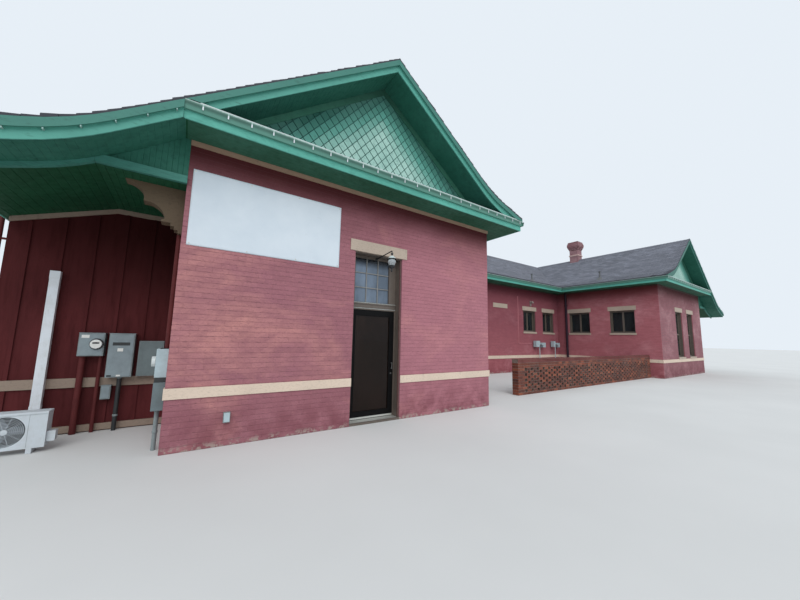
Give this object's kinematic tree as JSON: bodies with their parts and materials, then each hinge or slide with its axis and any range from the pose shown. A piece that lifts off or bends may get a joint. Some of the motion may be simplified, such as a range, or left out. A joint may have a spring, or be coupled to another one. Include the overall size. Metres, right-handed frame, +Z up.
{
  "type": "railway station building",
  "caption": "Single-storey brick station with gabled wings round a shallow court, a flared hipped roof, wide bracketed eaves, a boarded lean-to and a hinged entrance door.",
  "frame": {"origin": "ground level at the middle of the brick plan", "axes": "X along the front to the right, Y from the front to the rear, Z up"},
  "size_m": [29.024, 14.014, 8.1404],
  "materials": {
    "brick": "painted brick",
    "stone": "painted stone",
    "green": "painted boards",
    "gutter": "painted gutter metal",
    "shingle": "asphalt shingles",
    "boards": "dark red boards",
    "floor": "concrete",
    "window_frame": "bronze paint",
    "window_glass": "clear",
    "door_metal": "dark anodised",
    "door_glass": "tinted",
    "fittings": "dark",
    "box_grey": "grey paint",
    "pipe_red": "painted conduit",
    "white": "white paint",
    "lantern": "black paint",
    "globe": "clear",
    "dial": "clear",
    "cloth": "banner cloth",
    "screen_brick": "bare brick"
  },
  "bodies": {
    "building": {"floor": "floor", "front_wall_left": "brick", "front_wall_right": "brick", "front_wall_over_door": "brick", "left_side_wall": "brick", "left_court_wall": "brick", "back_court_wall": "brick", "right_court_wall": "brick", "far_front_wall": "brick", "right_side_wall": "brick", "rear_wall": "brick", "belt_course": "stone", "lintels": "stone", "sills": "stone", "frieze": "stone", "door_casing": "window_frame", "door_frame": "window_frame", "window_frames": "window_frame", "window_glass": "window_glass", "left_roof": "shingle", "main_roof": "shingle", "right_roof": "shingle", "gables": "green", "pent_roofs": "shingle", "rake_boards": "green", "fascias": "green", "gutters": "gutter", "soffits": "green", "wide_eave_ceilings": "green", "eave_beams": "green", "brackets": "stone", "chimney": "brick", "roof_vents": "lantern", "annex_walls": "boards", "annex_battens": "boards", "annex_trim": "stone", "service_boxes": "box_grey", "conduits": "pipe_red", "line_cover": "white", "condenser": "white", "lantern": "lantern", "lantern_globe": "globe", "court_lamp": "white", "meter_dials": "dial", "black_conduit": "lantern", "plain_conduit": "box_grey", "gas_meters": "box_grey", "banner": "cloth", "downspouts": "gutter", "screen_wall": "screen_brick"},
    "door": {"door_leaf": "door_metal", "door_glass": "door_glass", "door_fittings": "fittings"}
  },
  "joints": [
    {"name": "door_hinge", "type": "hinge", "parent": "building", "child": "door", "pos_m": [-9.521, -5.379, 1], "axis": [0, 0, -1], "range_deg": [0, 90]}
  ]
}
